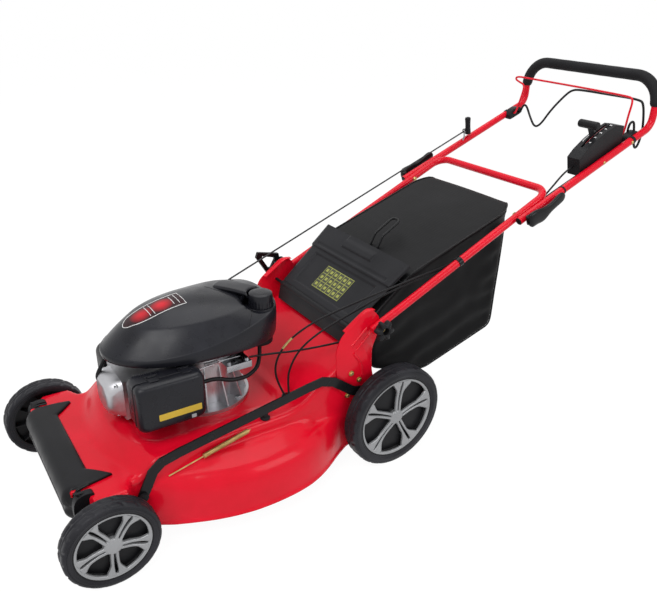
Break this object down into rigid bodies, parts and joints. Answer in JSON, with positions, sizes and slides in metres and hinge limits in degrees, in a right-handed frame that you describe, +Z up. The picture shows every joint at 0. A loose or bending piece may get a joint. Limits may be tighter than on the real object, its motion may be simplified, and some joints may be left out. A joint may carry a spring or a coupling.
{
  "type": "push lawn mower",
  "caption": "Petrol lawn mower with steel deck, geared rear wheels, folding handle, wire bails, lifting rear flap and removable grass bag.",
  "frame": {"origin": "on the ground under the middle of the whole machine", "axes": "+X is the operator's left, -Y is forward, +Z is up"},
  "size_m": [0.5888, 1.7675, 0.956],
  "materials": {
    "deck_red": "gloss",
    "black_plastic": "satin",
    "cowl_grey": "satin",
    "cast_aluminium": "as cast",
    "steel": "machined",
    "black_metal": "satin",
    "tyre": "matte",
    "wheel": "satin",
    "foam": "matte foam",
    "bag": "woven",
    "rubber": "satin",
    "red_wire": "gloss",
    "foam_filter": "foam"
  },
  "bodies": {
    "chassis": {"deck_shell": "deck_red", "front_bumper": "black_plastic", "crankcase": "cast_aluminium", "cylinder_head_cover": "cast_aluminium", "engine_cowl": "cowl_grey", "exhaust_guard": "black_metal", "muffler": "steel", "fuel_tank": "black_plastic", "fuel_hose": "rubber", "carburettor": "cast_aluminium", "air_cleaner_case": "black_plastic", "air_filter": "foam_filter", "spark_plug": "rubber", "control_bracket": "steel", "handle_brackets": "deck_red", "gearbox": "black_plastic", "drive_belt": "rubber", "wash_nozzle": "black_plastic", "lift_spring": "steel", "starter_rope": "bag", "control_cables": "rubber"},
    "crank": {"crankshaft": "steel", "flywheel": "cast_aluminium", "blade_adapter": "steel", "cutting_blade": "steel", "blade_bolt": "steel"},
    "gearbox_input": {"gearbox_pulley": "steel"},
    "front_axle": {"front_axle": "steel"},
    "rear_axle": {"rear_axle": "steel", "height_lever": "black_metal"},
    "linkage": {"linkage_bar": "black_metal"},
    "drive_shaft": {"drive_shaft": "steel"},
    "lower_handle": {"lower_handle": "deck_red"},
    "upper_handle": {"upper_handle": "deck_red", "foam_grip": "foam", "bail_holders": "black_plastic", "throttle_box": "black_plastic"},
    "blade_bail": {"blade_bail": "black_metal"},
    "drive_bail": {"drive_bail": "red_wire"},
    "throttle_lever": {"throttle_lever": "black_plastic"},
    "cam_left": {"cam_lever_left": "black_plastic"},
    "cam_right": {"cam_lever_right": "black_plastic"},
    "knob_left": {"handle_knob_left": "black_plastic"},
    "knob_right": {"handle_knob_right": "black_plastic"},
    "starter_grip": {"starter_grip": "rubber"},
    "recoil_pulley": {"recoil_pulley": "black_plastic"},
    "rear_flap": {"rear_flap": "black_plastic"},
    "bag": {"grass_bag": "bag", "bag_frame": "black_metal"},
    "fuel_cap": {"fuel_cap": "black_plastic"},
    "oil_cap": {"oil_filler_cap": "black_plastic"},
    "air_cover": {"air_cleaner_cover": "black_plastic"},
    "front_left": {"front_left_tyre": "tyre", "front_left_wheel": "wheel"},
    "front_right": {"front_right_tyre": "tyre", "front_right_wheel": "wheel"},
    "rear_left": {"rear_left_tyre": "tyre", "rear_left_wheel": "wheel"},
    "rear_right": {"rear_right_tyre": "tyre", "rear_right_wheel": "wheel"}
  },
  "joints": [
    {"name": "crank_spin", "type": "hinge", "parent": "chassis", "child": "crank", "pos_m": [0, -0.45725, 0.2], "axis": [0, 0, 1], "continuous": true},
    {"name": "gearbox_spin", "type": "hinge", "parent": "chassis", "child": "gearbox_input", "pos_m": [0, -0.03425, 0.168], "axis": [0, 0, 1], "continuous": true},
    {"name": "height_adjust", "type": "hinge", "parent": "chassis", "child": "rear_axle", "pos_m": [0, 0.00975, 0.14], "axis": [1, 0, 0], "range_deg": [0, 40], "deforming": ["lift_spring"]},
    {"name": "front_axle_turn", "type": "hinge", "parent": "chassis", "child": "front_axle", "pos_m": [0, -0.73425, 0.1015], "axis": [1, 0, 0], "range_deg": [0, 40]},
    {"name": "linkage_turn", "type": "hinge", "parent": "front_axle", "child": "linkage", "pos_m": [0.2129, -0.69225, 0.1395], "axis": [1, 0, 0], "range_deg": [-40, 0]},
    {"name": "front_left_spin", "type": "hinge", "parent": "front_axle", "child": "front_left", "pos_m": [0.266, -0.78225, 0.1015], "axis": [1, 0, 0], "continuous": true},
    {"name": "front_right_spin", "type": "hinge", "parent": "front_axle", "child": "front_right", "pos_m": [-0.266, -0.78225, 0.1015], "axis": [1, 0, 0], "continuous": true},
    {"name": "drive_spin", "type": "hinge", "parent": "rear_axle", "child": "drive_shaft", "pos_m": [0, 0.00975, 0.14], "axis": [1, 0, 0], "continuous": true},
    {"name": "rear_left_spin", "type": "hinge", "parent": "rear_axle", "child": "rear_left", "pos_m": [0.25, -0.03825, 0.14], "axis": [1, 0, 0], "continuous": true},
    {"name": "rear_right_spin", "type": "hinge", "parent": "rear_axle", "child": "rear_right", "pos_m": [-0.25, -0.03825, 0.14], "axis": [1, 0, 0], "continuous": true},
    {"name": "lower_handle_fold", "type": "hinge", "parent": "chassis", "child": "lower_handle", "pos_m": [0, -0.08225, 0.395], "axis": [1, 0, 0], "range_deg": [0, 125], "deforming": ["control_cables", "starter_rope"]},
    {"name": "upper_handle_fold", "type": "hinge", "parent": "lower_handle", "child": "upper_handle", "pos_m": [0, 0.37375, 0.60764], "axis": [1, 0, 0], "range_deg": [-100, 0], "deforming": ["control_cables", "starter_rope"]},
    {"name": "blade_bail_pull", "type": "hinge", "parent": "upper_handle", "child": "blade_bail", "pos_m": [0, 0.81275, 0.78116], "axis": [-1, 0, 0], "range_deg": [0, 28], "stiffness_Nm_per_rad": 1.5, "springref_deg": -9.74},
    {"name": "drive_bail_pull", "type": "hinge", "parent": "upper_handle", "child": "drive_bail", "pos_m": [0, 0.79075, 0.77916], "axis": [-1, 0, 0], "range_deg": [0, 12], "stiffness_Nm_per_rad": 1.5, "springref_deg": -9.74},
    {"name": "throttle_move", "type": "hinge", "parent": "upper_handle", "child": "throttle_lever", "pos_m": [0.206, 0.67975, 0.746], "axis": [1, 0, 0], "range_deg": [-25, 25]},
    {"name": "cam_left_flip", "type": "hinge", "parent": "upper_handle", "child": "cam_left", "pos_m": [0.2601, 0.37375, 0.60764], "axis": [0, 0.3746, -0.9272], "range_deg": [0, 95]},
    {"name": "cam_right_flip", "type": "hinge", "parent": "upper_handle", "child": "cam_right", "pos_m": [-0.2601, 0.37375, 0.60764], "axis": [0, -0.3746, 0.9272], "range_deg": [0, 95]},
    {"name": "knob_left_turn", "type": "hinge", "parent": "chassis", "child": "knob_left", "pos_m": [0.244, -0.08225, 0.395], "axis": [1, 0, 0], "range_deg": [0, 720]},
    {"name": "knob_right_turn", "type": "hinge", "parent": "chassis", "child": "knob_right", "pos_m": [-0.244, -0.08225, 0.395], "axis": [1, 0, 0], "range_deg": [0, 720]},
    {"name": "starter_pull", "type": "slide", "parent": "upper_handle", "child": "starter_grip", "axis": [0, 0.69, 0.7238], "range_m": [0, 0.6], "stiffness_N_per_m": 20, "springref_m": -0.1, "deforming": ["starter_rope"]},
    {"name": "recoil_spin", "type": "hinge", "parent": "chassis", "child": "recoil_pulley", "pos_m": [0, -0.45725, 0.398], "axis": [0, 0, -1], "range_deg": [0, 1150]},
    {"name": "rear_flap_lift", "type": "hinge", "parent": "chassis", "child": "rear_flap", "pos_m": [0, -0.12625, 0.376], "axis": [1, 0, 0], "range_deg": [0, 50], "stiffness_Nm_per_rad": 0.5, "springref_deg": -20.05, "deforming": ["control_cables"]},
    {"name": "bag_withdraw", "type": "slide", "parent": "chassis", "child": "bag", "axis": [0, 1, 0], "range_m": [0, 0.4], "deforming": ["control_cables"]},
    {"name": "fuel_cap_turn", "type": "hinge", "parent": "chassis", "child": "fuel_cap", "pos_m": [0.076, -0.32625, 0.47], "axis": [0, 0, 1], "range_deg": [0, 90]},
    {"name": "oil_cap_turn", "type": "hinge", "parent": "chassis", "child": "oil_cap", "pos_m": [-0.092, -0.41025, 0.235], "axis": [0, 0, 1], "range_deg": [0, 90]},
    {"name": "air_cover_open", "type": "hinge", "parent": "chassis", "child": "air_cover", "pos_m": [0.1414, -0.59225, 0.2573], "axis": [0, 1, 0], "range_deg": [0, 45]}
  ],
  "couplings": [
    {"joint": "gearbox_spin", "follows": "crank_spin", "ratio": 0.5},
    {"joint": "front_axle_turn", "follows": "height_adjust", "ratio": 1},
    {"joint": "linkage_turn", "follows": "height_adjust", "ratio": -1},
    {"joint": "rear_left_spin", "follows": "drive_spin", "ratio": 0.2},
    {"joint": "rear_right_spin", "follows": "drive_spin", "ratio": 0.2},
    {"joint": "recoil_spin", "follows": "starter_pull", "rad_per_m": 33.333}
  ]
}
